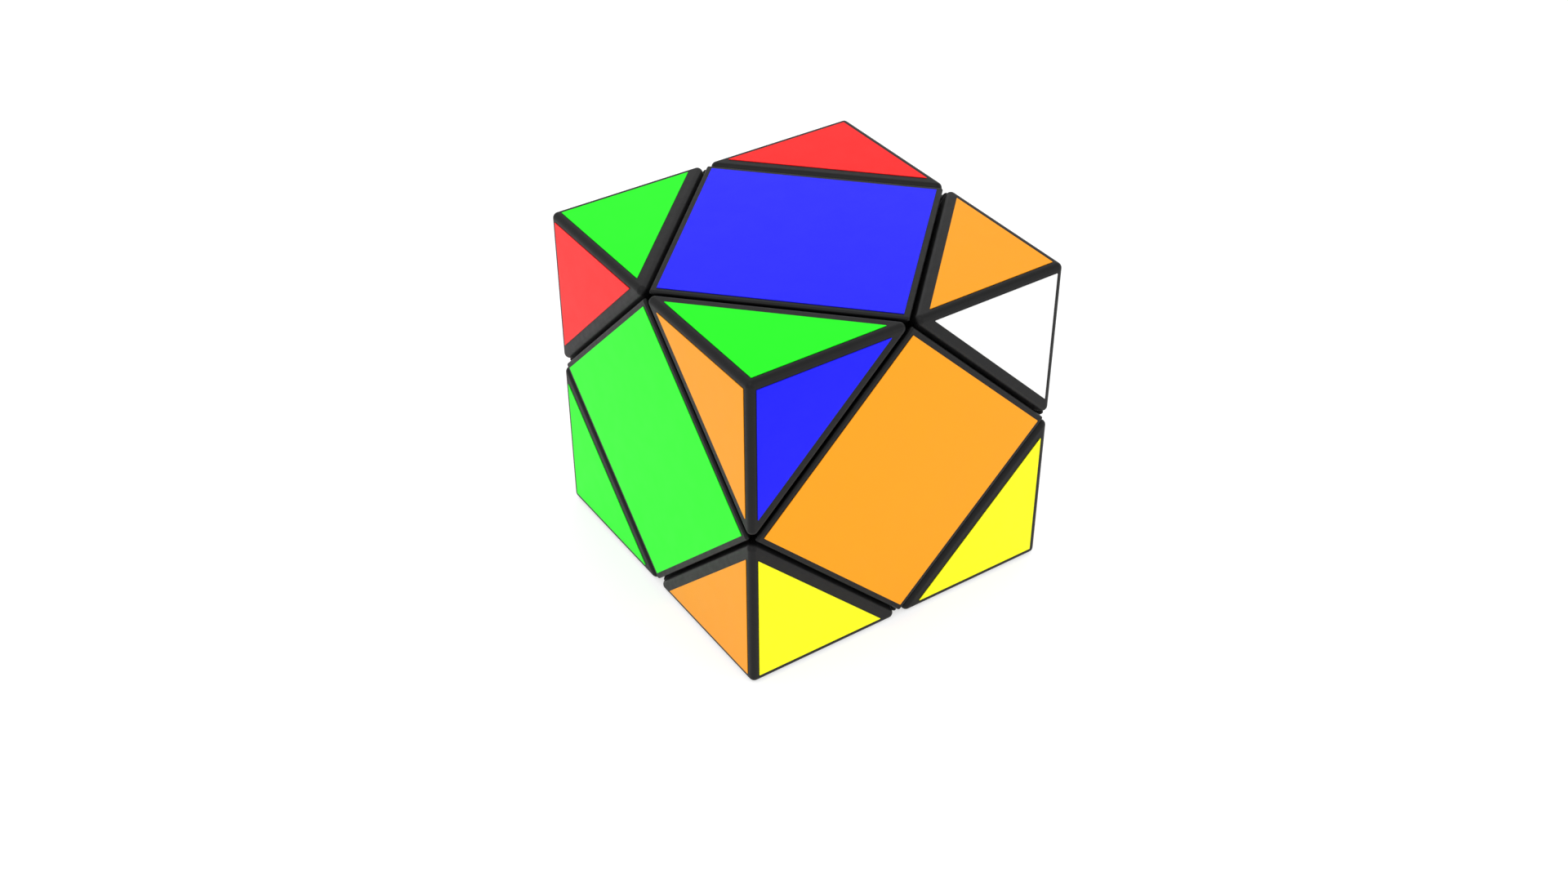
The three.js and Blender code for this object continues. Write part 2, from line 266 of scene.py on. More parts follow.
class PUZZLE_PG_colours(bpy.types.PropertyGroup):
    """Colours of the plastics, the steel and the six films."""

    black_plastic: colour_property("Black plastic", "Outer pieces", (0.003, 0.003, 0.0032))
    core_plastic: colour_property("Core plastic", "The core", (0.6, 0.6, 0.58))
    screw_steel: colour_property("Screw steel", "Zinc-plated screws", (0.62, 0.62, 0.64))
    spring_steel: colour_property("Spring steel", "Drawn wire", (0.42, 0.42, 0.44))
    sticker_blue: colour_property("Blue", "Blue film", (0.001, 0.001, 0.86))
    sticker_green: colour_property("Green", "Green film", (0.001, 0.86, 0.001))
    sticker_orange: colour_property("Orange", "Orange film", (0.86, 0.315, 0.001))
    sticker_red: colour_property("Red", "Red film", (0.86, 0.002, 0.002))
    sticker_white: colour_property("White", "White film", (0.8, 0.8, 0.8))
    sticker_yellow: colour_property("Yellow", "Yellow film", (0.86, 0.86, 0.001))


class PUZZLE_PG_stage(bpy.types.PropertyGroup):
    """Floor and lights."""

    floor: colour_property("Floor", "Pale floor", (0.5, 0.5, 0.5))
    floor_size: length_property("Floor size", "Width of the square floor", 6)
    floor_glow: FloatProperty(
        name="Floor glow", description="Light from under the floor", default=0.58, min=0
    )
    surround: FloatProperty(
        name="Surround", description="Strength of the white surround", default=1.08, min=0
    )
    softbox_power: FloatProperty(
        name="Softbox", description="Large light overhead", default=1.3, min=0, unit="POWER"
    )
    fill_power: FloatProperty(
        name="Fill", description="Low light from the front", default=0.7, min=0, unit="POWER"
    )


# ------------------------------------------------------------------ meshes

def mesh_from(name, points, faces):
    mesh = bpy.data.meshes.new(name)
    mesh.from_pydata([tuple(point) for point in points], [], faces)
    mesh.validate()
    return mesh


def combined(first, second, operation):
    """What a second closed mesh leaves of the first: UNION, DIFFERENCE or INTERSECT."""
    pair = [bpy.data.objects.new(mesh.name, mesh) for mesh in (first, second)]
    for item in pair:
        bpy.context.scene.collection.objects.link(item)
    step = pair[0].modifiers.new("combine", "BOOLEAN")
    step.operation = operation
    step.solver = "MANIFOLD"
    step.object = pair[1]
    graph = bpy.context.evaluated_depsgraph_get()
    result = bpy.data.meshes.new_from_object(pair[0].evaluated_get(graph))
    result.name = first.name
    for item in pair:
        bpy.data.objects.remove(item)
    if not result.polygons:
        raise RuntimeError(f"nothing is left of {first.name} after {operation} with {second.name}")
    return result


def joined(first, *others):
    for other in others:
        first = combined(first, other, "UNION")
    return first


def cut(first, *others):
    for other in others:
        first = combined(first, other, "DIFFERENCE")
    return first


def shared(first, *others):
    for other in others:
        first = combined(first, other, "INTERSECT")
    return first


def swung(mesh, axis):
    """The mesh turned about the cube's centre so that its +Z comes to lie along an axis."""
    mesh.transform(Z_AXIS.rotation_difference(axis).to_matrix().to_4x4())
    return mesh


def lathed(name, profile, segments=LATHE_SEGMENTS, axis=Z_AXIS, swell=None):
    """A closed solid turned about an axis from (radius, height) points, anticlockwise.

    The first and last points are on the axis. swell(height, angle) is added to each radius.
    """
    rings = profile[1:-1]
    points = [Vector((0, 0, profile[0][1]))]
    for radius, height in rings:
        for step in range(segments):
            angle = 2 * math.pi * step / segments
            reach = radius + (swell(height, angle) if swell else 0)
            points.append(Vector((reach * math.cos(angle), reach * math.sin(angle), height)))
    points.append(Vector((0, 0, profile[-1][1])))
    last = len(points) - 1
    faces = []
    for step in range(segments):
        after = (step + 1) % segments
        faces.append((0, 1 + after, 1 + step))
        for ring in range(len(rings) - 1):
            low = 1 + ring * segments
            high = low + segments
            faces.append((low + step, low + after, high + after, high + step))
        top = last - segments
        faces.append((top + step, top + after, last))
    return swung(mesh_from(name, points, faces), axis)


def bend_points(before, corner, after):
    """Points of the parabola that leaves both sides of a corner smoothly."""
    shares = [step / BEND_STEPS for step in range(BEND_STEPS + 1)]
    return [
        tuple(before * (1 - t) ** 2 + corner * 2 * t * (1 - t) + after * t ** 2) for t in shares
    ]


def bent(corners):
    """A profile from (radius, height, bend) corners; a bend starts its own size from its corner."""
    profile = []
    for index, (radius, height, bend) in enumerate(corners):
        here = Vector((radius, height))
        if not bend:
            profile.append(tuple(here))
            continue
        back = (Vector(corners[index - 1][:2]) - here).normalized() * bend
        onward = (Vector(corners[index + 1][:2]) - here).normalized() * bend
        profile += bend_points(here + back, here, here + onward)
    return profile


def open_mouth(radius, end):
    """The last corners of a bore's profile, where it opens out through a chamfer."""
    flare = radius + MOUTH_CHAMFER + MOUTH_OVERRUN
    return [
        (radius, end - MOUTH_CHAMFER, 0), (flare, end + MOUTH_OVERRUN, 0),
        (flare, FAR, 0), (0, FAR, 0),
    ]


def rod(name, radius, start, end, axis=Z_AXIS, segments=HOLE_SEGMENTS, bend=0):
    """A round rod between two distances from the cube's centre, its rims rounded by a bend."""
    corners = [(0, start, 0), (radius, start, bend), (radius, end, bend), (0, end, 0)]
    return lathed(name, bent(corners), segments, axis)


def ball(name, radius):
    rows = LATHE_SEGMENTS // 2
    angles = [math.pi * row / rows for row in range(1, rows)]
    profile = [(radius * math.sin(angle), -radius * math.cos(angle)) for angle in angles]
    return lathed(name, [(0, -radius), *profile, (0, radius)])


# ------------------------------------------------------------------ rounded convex bodies

def between(first, second, share):
    """A unit vector part of the way along the arc from one unit vector to another."""
    angle = first.angle(second)
    if angle < COINCIDENT:
        return first.copy()
    turned = first * math.sin((1 - share) * angle) + second * math.sin(share * angle)
    return turned / math.sin(angle)


def arc_steps(first, second):
    return max(1, math.ceil(first.angle(second) / ROUND_STEP - COINCIDENT))


def directions_between(normals):
    """Unit vectors that cover the part of a sphere between the normals of one corner."""
    middle = sum(normals, Vector()).normalized()
    side = middle.orthogonal().normalized()
    other = middle.cross(side)
    ring = sorted(normals, key=lambda normal: math.atan2(normal.dot(other), normal.dot(side)))
    directions = []
    for first, second in zip(ring, ring[1:] + ring[:1]):
        columns = arc_steps(first, second)
        for column in range(columns):
            rim = between(first, second, column / columns)
            rows = arc_steps(rim, middle)
            directions += [between(rim, middle, row / rows) for row in range(rows + 1)]
    return directions


def meeting_points(planes):
    """Corners of the body that (normal, distance) planes bound, each with its own normals."""
    found = []
    for trio in itertools.combinations(planes, 3):
        rows = Matrix([normal for normal, _ in trio])
        if abs(rows.determinant()) < COINCIDENT:
            continue
        point = rows.inverted() @ Vector([distance for _, distance in trio])
        if any(normal.dot(point) > distance + COINCIDENT for normal, distance in planes):
            continue
        if any((point - known).length < COINCIDENT for known, _ in found):
            continue
        touching = [
            normal for normal, distance in planes
            if abs(normal.dot(point) - distance) < COINCIDENT
        ]
        found.append((point, touching))
    return found


def rounded_body(name, planes, radius):
    """The convex body between planes, with every edge and corner rounded to one radius."""
    inset = [(normal, distance - radius) for normal, distance in planes]
    work = bmesh.new()
    for point, normals in meeting_points(inset):
        for direction in directions_between(normals):
            work.verts.new(point + direction * radius)
    bmesh.ops.remove_doubles(work, verts=work.verts, dist=WELD)
    hull = bmesh.ops.convex_hull(work, input=work.verts)
    spare = set(hull["geom_interior"] + hull["geom_unused"])
    bmesh.ops.delete(work, geom=[item for item in spare if isinstance(item, bmesh.types.BMVert)])
    bmesh.ops.recalc_face_normals(work, faces=work.faces)
    mesh = bpy.data.meshes.new(name)
    work.to_mesh(mesh)
    work.free()
    return mesh


# ------------------------------------------------------------------ the cuts

def on_ray(radius, angle, offset):
    """(radius, height) where a ray from the centre, moved aside by an offset, leaves a sphere."""
    along = math.sqrt(radius ** 2 - offset ** 2)
    sine = math.sin(angle)
    cosine = math.cos(angle)
    return Vector((along * sine + offset * cosine, along * cosine - offset * sine))


def sphere_arc(start, end):
    """Points strictly between two points of one sphere, in the profile plane."""
    first = math.atan2(start.x, start.y)
    last = math.atan2(end.x, end.y)
    steps = round(abs(last - first) / ARC_STEP)
    angles = [first + (last - first) * step / steps for step in range(1, steps)]
    return [start.length * Vector((math.sin(angle), math.cos(angle))) for angle in angles]


def turning_side(axis, offset):
    """Everything on the turning side of one axis's cut, grown by an offset."""
    foot = FOOT_OUTER + offset
    cap = CAP_OUTER - offset
    steps = [
        on_ray(foot, FOOT_ANGLE, offset), on_ray(foot, CAP_ANGLE, offset),
        on_ray(cap, CAP_ANGLE, offset), on_ray(cap, math.pi / 2, offset),
    ]
    outline = [
        Vector((0, 0)), on_ray(CUT_START, FOOT_ANGLE, offset),
        steps[0], *sphere_arc(steps[0], steps[1]), steps[1],
        steps[2], *sphere_arc(steps[2], steps[3]), steps[3],
        Vector((FAR, -offset)), Vector((FAR, FAR)), Vector((0, FAR)),
    ]
    corners = [(point.x, point.y, STEP_ROUND if point in steps else 0) for point in outline]
    return lathed("turning_side", bent(corners), LATHE_SEGMENTS, axis)


def knuckle(turns_with, stays_for):
    """The interlocking inner end of a piece, from its feet to just past the cap layer."""
    solid = ball("knuckle", KNUCKLE_TOP)
    for axis in turns_with:
        solid = shared(solid, turning_side(axis, -PIECE_GAP / 2))
    for axis in stays_for:
        solid = cut(solid, turning_side(axis, PIECE_GAP / 2))
    return cut(solid, ball("core_room", FOOT_INNER))


def outer_block(planes, radius):
    """The rounded outside of a piece, down to where its knuckle takes over."""
    return cut(rounded_body("outer_block", planes, radius), ball("layers", BLOCK_START))


# ------------------------------------------------------------------ corners

def corner_planes(sizes, inset=0):
    """Outside planes of the home corner, moved in by an inset."""
    face = HALF_EDGE - sizes.sticker_thickness - sizes.adhesive - inset
    cut_plane = -sizes.corner_draft - inset
    faces = [(axis, face) for axis in (X_AXIS, Y_AXIS, Z_AXIS)]
    return faces + [(axis, cut_plane) for axis in OTHER_AXES]


def beyond(distance):
    """All that lies further along the home diagonal than a distance."""
    return rod("beyond", FAR, distance, FAR, DIAGONAL)


def core_corner_base(sizes):
    """The knuckle over three centres' feet, stem, spring pocket and the boss for the cap."""
    block = outer_block(corner_planes(sizes), sizes.corner_round)
    block = cut(block, beyond(CAP_SEAM - CAP_SEAM_GAP / 2))
    stem = rod("stem", STEM_RADIUS, STEM_START, STEM_END, DIAGONAL, bend=RIM_BEND)
    boss = lathed("boss", bent([
        (0, BOSS_START, 0),
        (BOSS_RADIUS, BOSS_START, 0),
        (BOSS_RADIUS, BEAD_HEIGHT - BEAD_REACH, BEAD_RISE),
        (BOSS_RADIUS + BEAD_RISE, BEAD_HEIGHT, BEAD_RISE),
        (BOSS_RADIUS, BEAD_HEIGHT + BEAD_REACH, BEAD_RISE),
        (BOSS_RADIUS, BOSS_TOP, MOUTH_CHAMFER),
        (0, BOSS_TOP, 0),
    ]), HOLE_SEGMENTS, DIAGONAL)
    pocket = lathed("pocket", bent([
        (0, POCKET_FLOOR, 0),
        (POCKET_RADIUS, POCKET_FLOOR, RIM_BEND),
        *open_mouth(POCKET_RADIUS, BOSS_TOP),
    ]), HOLE_SEGMENTS, DIAGONAL)
    bore = rod("bore", BORE_RADIUS, 0, CAP_SEAM, DIAGONAL)
    return cut(joined(knuckle([], OTHER_AXES), block, stem, boss), pocket, bore)


def corner_cap(sizes):
    """The snap-on shell over a core corner, with its socket and three ribs."""
    seam = CAP_SEAM + CAP_SEAM_GAP / 2
    block = outer_block(corner_planes(sizes), sizes.corner_round)
    block = shared(block, beyond(seam))
    hollow = rounded_body("hollow", corner_planes(sizes, WALL), INNER_ROUND)
    socket_radius = BOSS_RADIUS + SOCKET_GAP
    inside = rod("socket", socket_radius + SOCKET_WALL, seam, FAR, DIAGONAL)
    for axis in (X_AXIS, Y_AXIS, Z_AXIS):
        toward_tip = (DIAGONAL * axis.dot(DIAGONAL) - axis).normalized()
        across = toward_tip.cross(DIAGONAL)
        inside = joined(inside, rounded_body("rib", [
            (toward_tip, HALF_EDGE),
            (-toward_tip, 0),
            (across, RIB_THICKNESS / 2),
            (-across, RIB_THICKNESS / 2),
            (DIAGONAL, FAR / 2),
            (-DIAGONAL, -RIB_START),
        ], RIB_ROUND))
    shell = joined(cut(block, hollow), shared(inside, block))
    bore = lathed("socket_bore", bent([
        (0, 0, 0),
        (socket_radius + SOCKET_LEAD, 0, 0),
        (socket_radius + SOCKET_LEAD, seam + SOCKET_LEAD_START, 0),
        (socket_radius, seam + SOCKET_LEAD_END, 0),
        (socket_radius, BOSS_TOP + SOCKET_GAP, RIM_BEND),
        (SOCKET_CORE_RADIUS, BOSS_TOP + SOCKET_GAP, 0),
        (SOCKET_CORE_RADIUS, SOCKET_CORE_TOP, SOCKET_CORE_BEND),
        (0, SOCKET_CORE_TOP, 0),
    ]), HOLE_SEGMENTS, DIAGONAL)
    return cut(shell, bore)


def free_corner(sizes):
    """A hollow corner, its feet held under the caps of its three neighbouring centres."""
    block = outer_block(corner_planes(sizes), sizes.corner_round)
    floor = (-DIAGONAL, -(CAP_OUTER + WALL))
    hollow = rounded_body("hollow", [*corner_planes(sizes, WALL), floor], INNER_ROUND)
    vent = rod("vent", VENT_RADIUS, 0, HALF_EDGE, DIAGONAL)
    neighbours = [-axis for axis in OTHER_AXES]
    return cut(joined(knuckle(neighbours, []), block), hollow, vent)


# ------------------------------------------------------------------ centres

def centre_planes(sizes, inset=0):
    """Outside planes of the top centre, moved in by an inset."""
    face = HALF_EDGE - sizes.sticker_thickness - sizes.adhesive - inset
    cut_plane = -sizes.centre_draft - inset
    sides = [(axis if axis.z < 0 else -axis, cut_plane) for axis in TURNING_AXES]
    return [(Z_AXIS, face), *sides]


def centre_piece(sizes):
    """A hollow square-faced centre, its feet under two caps and its caps over two feet."""
    block = outer_block(centre_planes(sizes), sizes.centre_round)
    floor = (-Z_AXIS, -(CAP_OUTER + WALL))
    hollow = rounded_body("hollow", [*centre_planes(sizes, WALL), floor], INNER_ROUND / 2)
    bore = rod("centre_bore", CENTRE_BORE, 0, CAP_OUTER + 2 * WALL)
    upper = [axis for axis in TURNING_AXES if axis.z > 0]
    lower = [axis for axis in TURNING_AXES if axis.z < 0]
    return cut(joined(knuckle(upper, lower), block), hollow, bore)


# ------------------------------------------------------------------ core and hardware

def core_ball():
    """A ball with one flared, drilled arm on each turning axis."""
    solid = ball("core", BALL_RADIUS)
    for axis in TURNING_AXES:
        solid = joined(solid, lathed("arm", bent([
            (0, ARM_START, 0),
            (ARM_FLARE_RADIUS, ARM_START, 0),
            (ARM_FLARE_RADIUS, ARM_FLARE_START, 0),
            (ARM_RADIUS, ARM_FLARE_END, ARM_FLARE_BEND),
            (ARM_RADIUS, ARM_END, RIM_BEND),
            (0, ARM_END, 0),
        ]), HOLE_SEGMENTS, axis))
    for axis in TURNING_AXES:
        solid = cut(solid, lathed("pilot_hole", bent([
            (0, ARM_START, 0),
            (PILOT_RADIUS, ARM_START, RIM_BEND),
            *open_mouth(PILOT_RADIUS, ARM_END),
        ]), HOLE_SEGMENTS, axis))
    return solid


def thread(height, angle):
    """How far the screw's surface lies under its full radius, on the thread and off it."""
    if not SCREW_TIP < height < THREAD_END:
        return 0
    phase = (height / THREAD_PITCH - angle / (2 * math.pi)) % 1
    crest = max(0, 1 - THREAD_STEEPNESS * abs(phase - 0.5))
    fade = min(1, (THREAD_END - height) / THREAD_PITCH, (height - SCREW_TIP) / SCREW_POINT)
    return -THREAD_DEPTH * fade * (1 - crest)


def tension_screw():
    """A threaded pan-head screw with a flange and a tapered cross recess."""
    head_top = HEAD_SEAT + HEAD_HEIGHT
    start = SCREW_TIP + SCREW_POINT
    count = round((THREAD_END - start) / THREAD_PITCH * THREAD_RINGS)
    threaded = [
        (SCREW_RADIUS, start + (THREAD_END - start) * ring / count, 0) for ring in range(count + 1)
    ]
    solid = lathed("tension_screw", bent([
        (0, SCREW_TIP, 0),
        (SCREW_POINT_RADIUS, SCREW_TIP, 0),
        (SCREW_RADIUS / 2, SCREW_TIP + SCREW_POINT / 3, 0),
        *threaded,
        (SCREW_RADIUS, HEAD_SEAT, SHANK_BEND),
        (FLANGE_RADIUS, HEAD_SEAT, FLANGE_LOWER_BEND),
        (FLANGE_RADIUS, HEAD_SEAT + FLANGE_THICKNESS, FLANGE_UPPER_BEND),
        (HEAD_RADIUS, HEAD_SEAT + FLANGE_THICKNESS, FLANGE_TO_HEAD_BEND),
        (HEAD_RADIUS, head_top, HEAD_ROUND),
        (0, head_top, 0),
    ]), THREAD_SEGMENTS, swell=thread)
    slant = math.hypot(1, RECESS_TAPER)
    for along, across in ((X_AXIS, Y_AXIS), (Y_AXIS, X_AXIS)):
        ends = [((sign * along - RECESS_TAPER * Z_AXIS) / slant,
                 (RECESS_LENGTH / 2 - RECESS_TAPER * head_top) / slant) for sign in (1, -1)]
        solid = cut(solid, rounded_body("recess", [
            *ends,
            (across, RECESS_WIDTH / 2),
            (-across, RECESS_WIDTH / 2),
            (Z_AXIS, head_top + RECESS_DEPTH),
            (-Z_AXIS, RECESS_DEPTH - head_top),
        ], RECESS_ROUND))
    return swung(solid, DIAGONAL)


def tension_spring():
    """A compression spring with closed, ground ends."""
    low = POCKET_FLOOR + SPRING_CLEARANCE
    high = HEAD_SEAT - SPRING_CLEARANCE
    open_turns = SPRING_TURNS - 2 * SPRING_CLOSED_TURNS
    open_rise = high - low - SPRING_WIRE * (1 + 2 * SPRING_CLOSED_TURNS)
    points = []
    for step in range(SPRING_STEPS + 1):
        turns = SPRING_TURNS * step / SPRING_STEPS
        opened = min(max(turns - SPRING_CLOSED_TURNS, 0), open_turns)
        rise = (turns - opened) * SPRING_WIRE + open_rise * opened / open_turns
        height = low + SPRING_WIRE / 2 + rise
        for side in range(SPRING_SIDES):
            lean = 2 * math.pi * side / SPRING_SIDES
            reach = SPRING_RADIUS + SPRING_WIRE / 2 * math.cos(lean)
            level = height + SPRING_WIRE / 2 * math.sin(lean)
            angle = 2 * math.pi * turns
            points.append((
                reach * math.cos(angle), reach * math.sin(angle),
                min(max(level, low + SPRING_GRIND), high - SPRING_GRIND),
            ))
    faces = [tuple(range(SPRING_SIDES))]
    for step in range(SPRING_STEPS):
        near = step * SPRING_SIDES
        for side in range(SPRING_SIDES):
            after = (side + 1) % SPRING_SIDES
            there = near + SPRING_SIDES
            faces.append((near + side, there + side, there + after, near + after))
    faces.append(tuple(range(len(points) - 1, len(points) - 1 - SPRING_SIDES, -1)))
    return swung(mesh_from("tension_spring", points, faces), DIAGONAL)


# ------------------------------------------------------------------ stickers

def outline_ring(corners, radius, inset, height):
    """One level ring round an anticlockwise outline, its corners rounded, moved in by an inset."""
    ring = []
    for index, here in enumerate(corners):
        back = (here - corners[index - 1]).normalized()
        onward = (corners[(index + 1) % len(corners)] - here).normalized()
        first, second = back.cross(Z_AXIS), onward.cross(Z_AXIS)
        middle = here - (first + second) * radius / (1 + first.dot(second))
        for step in range(BEND_STEPS + 1):
            point = middle + between(first, second, step / BEND_STEPS) * (radius - inset)
            ring.append(Vector((point.x, point.y, height)))
    return ring


def film(name, outline, sizes):
    """A flat sticker on the top face, from its outline, with a fine bevel round its upper rim."""
    corners = [Vector((x, y, 0)) for x, y in outline]
    bevel = sizes.sticker_edge_round
    rings = [
        outline_ring(corners, sizes.sticker_corner_round, inset, height)
        for inset, height in (
            (0, HALF_EDGE - sizes.sticker_thickness), (0, HALF_EDGE - bevel), (bevel, HALF_EDGE),
        )
    ]
    count = len(rings[0])
    faces = [tuple(range(count - 1, -1, -1)), tuple(range(2 * count, 3 * count))]
    for level in (0, count):
        for step in range(count):
            after = (step + 1) % count
            faces.append((
                level + step, level + after, level + count + after, level + count + step,
            ))
    return mesh_from(name, sum(rings, []), faces)


def centre_film(sizes):
    reach = HALF_EDGE - sizes.sticker_cut_inset * math.sqrt(2)
    return film("centre_film", [(reach, 0), (0, reach), (-reach, 0), (0, -reach)], sizes)


def corner_film(sizes):
    outer = HALF_EDGE - sizes.sticker_edge_inset
    inner = HALF_EDGE + sizes.sticker_cut_inset * math.sqrt(2) - outer
    return film("corner_film", [(outer, outer), (inner, outer), (outer, inner)], sizes)


# ------------------------------------------------------------------ finishes

class Finish:
    """One material's node tree, built up from a plain shader."""

    def __init__(self, name, colour, roughness, metallic=0):
        self.material = bpy.data.materials.get(name) or bpy.data.materials.new(name)
        self.material.use_nodes = True
        self.material.diffuse_color = (*colour, 1)
        self.nodes = self.material.node_tree.nodes
        self.nodes.clear()
        self.shader = self.nodes.new("ShaderNodeBsdfPrincipled")
        self.shader.inputs["Base Color"].default_value = (*colour, 1)
        self.shader.inputs["Roughness"].default_value = roughness
        self.shader.inputs["Metallic"].default_value = metallic
        output = self.nodes.new("ShaderNodeOutputMaterial")
        self.link(self.shader.outputs["BSDF"], output.inputs["Surface"])
        self.places = self.nodes.new("ShaderNodeTexCoord").outputs["Object"]

    def link(self, output, socket):
        self.material.node_tree.links.new(output, socket)

    def noise(self, size, detail=2, stretch=(1, 1, 1)):
        """Noise whose features are about `size` metres across, drawn out by a stretch."""
        mapping = self.nodes.new("ShaderNodeMapping")
        mapping.inputs["Scale"].default_value = [1 / (size * along) for along in stretch]
        texture = self.nodes.new("ShaderNodeTexNoise")
        texture.inputs["Scale"].default_value = 1
        texture.inputs["Detail"].default_value = detail
        self.link(self.places, mapping.inputs["Vector"])
        self.link(mapping.outputs["Vector"], texture.inputs["Vector"])
        return texture.outputs["Fac"]

    def ranged(self, value, low, high, start=0.35, end=0.65):
        """A value's useful middle range spread between two numbers."""
        spread = self.nodes.new("ShaderNodeMapRange")
        spread.inputs["From Min"].default_value = start
        spread.inputs["From Max"].default_value = end
        spread.inputs["To Min"].default_value = low
        spread.inputs["To Max"].default_value = high
        self.link(value, spread.inputs["Value"])
        return spread.outputs["Result"]

    def mixed(self, share, first, second):
        """A colour part of the way between two, either of them a colour or a node's output."""
        mix = self.nodes.new("ShaderNodeMix")
        mix.data_type = "RGBA"
        self.link(share, mix.inputs["Factor"])
        for key, colour in (("A", first), ("B", second)):
            socket = next(s for s in mix.inputs if s.name == key and s.type == "RGBA")
            if isinstance(colour, bpy.types.NodeSocket):
                self.link(colour, socket)
            else:
                socket.default_value = (*colour, 1)
        return next(s for s in mix.outputs if s.type == "RGBA")

    def summed(self, first, second):
        add = self.nodes.new("ShaderNodeMath")
        add.operation = "ADD"
        self.link(first, add.inputs[0])
        self.link(second, add.inputs[1])
        return add.outputs["Value"]

    def relief(self, height, depth):
        """Raises the surface by a height of 0 to 1 times a depth in metres."""
        bump = self.nodes.new("ShaderNodeBump")
        bump.inputs["Strength"].default_value = 1
        bump.inputs["Distance"].default_value = depth
        self.link(height, bump.inputs["Height"])
        self.link(bump.outputs["Normal"], self.shader.inputs["Normal"])


def moulded_plastic(name, colour, worn_colour):
    """Satin ABS: spark-eroded grain, faint flow marks, and edges that hands have polished."""
    finish = Finish(name, colour, 0.42)
    finish.shader.inputs["Specular IOR Level"].default_value = PLASTIC_SPECULAR
    pointiness = finish.nodes.new("ShaderNodeNewGeometry").outputs["Pointiness"]
    worn = finish.ranged(pointiness, 0, 1, 0.505, 0.56)
    flow = finish.ranged(finish.noise(2.5 * MM, 3), 0, 0.3)
    finish.link(
        finish.mixed(finish.summed(worn, flow), colour, worn_colour),
        finish.shader.inputs["Base Color"],
    )
    polish = finish.ranged(finish.noise(1.2 * MM, 4), *PLASTIC_ROUGHNESS)
    finish.link(polish, finish.shader.inputs["Roughness"])
    finish.relief(finish.noise(PLASTIC_GRAIN), PLASTIC_GRAIN_DEPTH)
    return finish.material


def printed_film(name, colour):
    """Satin vinyl: even colour, a soft orange-peel and hairlines from handling in the gloss."""
    finish = Finish(name, colour, 0.38)
    finish.shader.inputs["Specular IOR Level"].default_value = FILM_SPECULAR
    paler = [channel * 0.985 + 0.001 for channel in colour]
    finish.link(
        finish.mixed(finish.ranged(finish.noise(4 * MM, 3), 0, 1), colour, paler),
        finish.shader.inputs["Base Color"],
    )
    smudges = finish.ranged(finish.noise(3 * MM, 3), *FILM_ROUGHNESS)
    scratches = finish.noise(0.12 * MM, 1, (60, 1, 1))
    hairlines = finish.ranged(scratches, 0, HAIRLINE_ROUGHNESS, 0.55, 0.7)
    finish.link(finish.summed(smudges, hairlines), finish.shader.inputs["Roughness"])
    finish.relief(finish.noise(FILM_PEEL, 1), FILM_PEEL_DEPTH)
    return finish.material


def plated_steel(name, colour, roughness):
    """Bright metal with fine drawing marks and a little unevenness in the plating."""
    finish = Finish(name, colour, roughness, metallic=1)
    darker = [channel * 0.8 for channel in colour]
    finish.link(
        finish.mixed(finish.ranged(finish.noise(0.6 * MM, 3), 0, 1), colour, darker),
        finish.shader.inputs["Base Color"],
    )
    drawn = finish.noise(0.08 * MM, 2, (1, 1, 8))
    marks = finish.ranged(drawn, roughness, roughness + STEEL_UNEVENNESS)
    finish.link(marks, finish.shader.inputs["Roughness"])
    finish.relief(finish.noise(STEEL_GRAIN), STEEL_GRAIN_DEPTH)
    return finish.material


def material_for(slot, colours):
    """The finish of one material slot, made when it is first needed."""
    colour = tuple(getattr(colours, slot))
    name = f"finish_{slot}"
    if name in bpy.data.materials:
        return bpy.data.materials[name]
    if slot.startswith("sticker"):
        return printed_film(name, colour)
    if slot.endswith("steel"):
        return plated_steel(name, colour, STEEL_ROUGHNESS[slot])
    return moulded_plastic(name, colour, [channel + WORN_LIFT for channel in colour])


# ------------------------------------------------------------------ placing

def square_frame(normal, toward):
    side = toward.normalized()
    return Matrix((side, normal.cross(side), normal)).transposed()


def placement(node):
    """The turn from home, and the move to the cube's centre, of a node named after its place."""
    words = [DIRECTIONS[word] for word in node.split("_") if word in DIRECTIONS]
    if not words:
        return Matrix.Translation(CUBE_CENTRE)
    normal = words[0]
    toward = sum(words[1:], Vector())
    if not toward.length:
        corner = next(axis for axis in TURNING_AXES if axis.dot(normal) > 0)
        toward = corner - normal * corner.dot(normal)
    home = square_frame(Z_AXIS, X_AXIS + Y_AXIS)
    turn = square_frame(normal, toward) @ home.transposed()
    return Matrix.Translation(CUBE_CENTRE) @ turn.to_4x4()


def tidied(mesh):
    """Drops slivers, merges flat neighbours and marks the hard edges."""
    work = bmesh.new()
    work.from_mesh(mesh)
    bmesh.ops.dissolve_degenerate(work, edges=work.edges, dist=WELD)
    bmesh.ops.dissolve_limit(work, verts=work.verts, edges=work.edges, angle_limit=FLAT_ANGLE)
    bmesh.ops.dissolve_degenerate(work, edges=work.edges, dist=WELD)
    bmesh.ops.triangulate(work, faces=[face for face in work.faces if len(face.verts) > 4])
    bmesh.ops.dissolve_degenerate(work, edges=work.edges, dist=WELD)
    work.to_mesh(mesh)
    work.free()
    mesh.shade_smooth()
    mesh.set_sharp_from_angle(angle=SMOOTH_ANGLE)
    return mesh


def nodes_of(kind):
    return [node for node in frame["nodes"] if node.startswith(kind + "_")]


